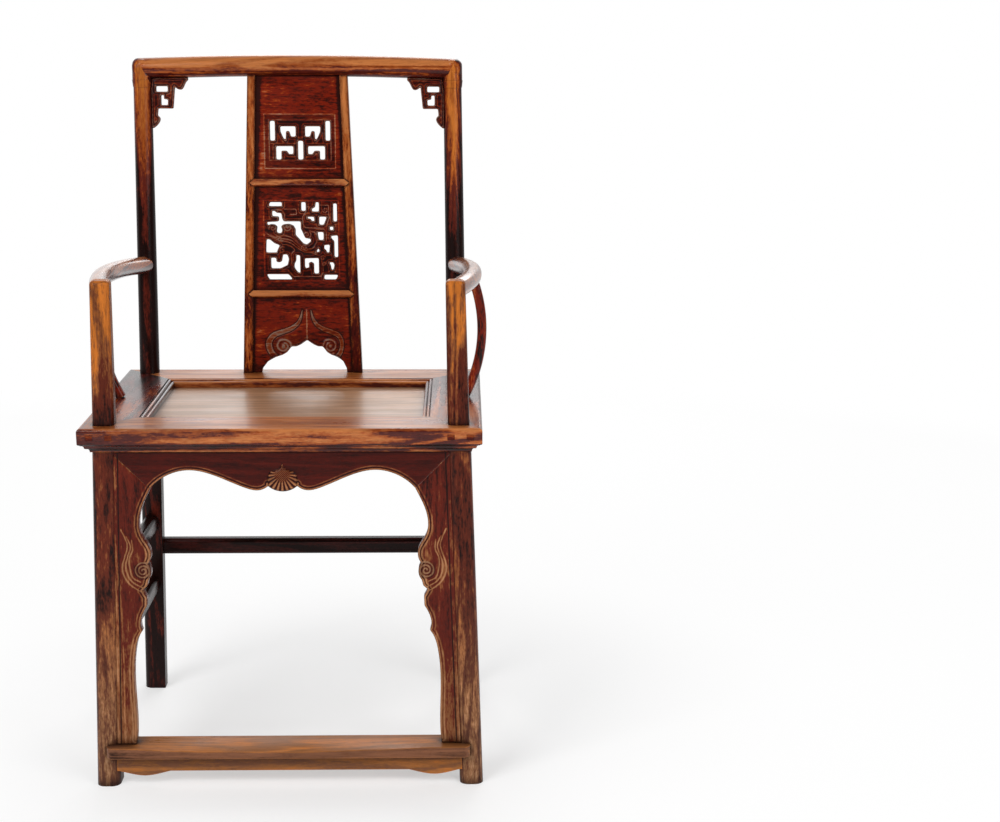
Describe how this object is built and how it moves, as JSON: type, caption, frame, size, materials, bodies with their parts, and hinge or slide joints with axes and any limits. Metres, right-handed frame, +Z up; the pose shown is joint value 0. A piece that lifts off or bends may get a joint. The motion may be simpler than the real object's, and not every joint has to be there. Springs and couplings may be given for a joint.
{
  "type": "armchair",
  "caption": "Low-backed East Asian armchair in lacquered wood, with bowed arms, an openwork splat, a carved arch under the seat and a footrest.",
  "frame": {"origin": "on the floor, in the middle of the overall width and depth", "axes": "+Z up, -Y the way the sitter faces, +X to the right as seen from in front"},
  "size_m": [0.5622, 0.4424, 0.9965],
  "materials": {
    "frame_wood": "worn red-brown lacquer over tan hardwood",
    "seat_wood": "worn red-brown lacquer, glossy on top",
    "panel_wood": "worn tan hardwood, polished by use",
    "carved_wood": "dark maroon lacquer",
    "plain_wood": "dark lacquer",
    "peg_wood": "dark end grain"
  },
  "bodies": {
    "root": {"crest_rail": "frame_wood", "front_leg_right": "frame_wood", "front_leg_left": "frame_wood", "rear_leg_right": "frame_wood", "rear_leg_left": "frame_wood", "arm_right": "frame_wood", "arm_left": "frame_wood", "arm_stick_right": "frame_wood", "arm_stick_left": "frame_wood", "splat_stile_right": "frame_wood", "splat_stile_left": "frame_wood", "splat_rail_upper": "frame_wood", "splat_rail_lower": "frame_wood", "side_stretcher_upper_right": "frame_wood", "side_stretcher_upper_left": "frame_wood", "side_stretcher_lower_right": "frame_wood", "side_stretcher_lower_left": "frame_wood", "rear_stretcher": "frame_wood", "seat_rail_front": "seat_wood", "seat_rail_rear": "seat_wood", "seat_rail_right": "seat_wood", "seat_rail_left": "seat_wood", "seat_panel": "panel_wood", "footrest": "panel_wood", "splat_panel_top": "carved_wood", "splat_panel_middle": "carved_wood", "splat_panel_bottom": "carved_wood", "corner_bracket_right": "carved_wood", "corner_bracket_left": "carved_wood", "front_apron": "carved_wood", "front_spandrel_right": "carved_wood", "front_spandrel_left": "carved_wood", "rear_apron": "plain_wood", "side_apron_right": "plain_wood", "side_apron_left": "plain_wood", "seat_batten_right": "plain_wood", "seat_batten_left": "plain_wood", "footrest_apron": "plain_wood", "arm_pegs": "peg_wood", "seat_corner_plugs": "peg_wood"}
  },
  "joints": []
}
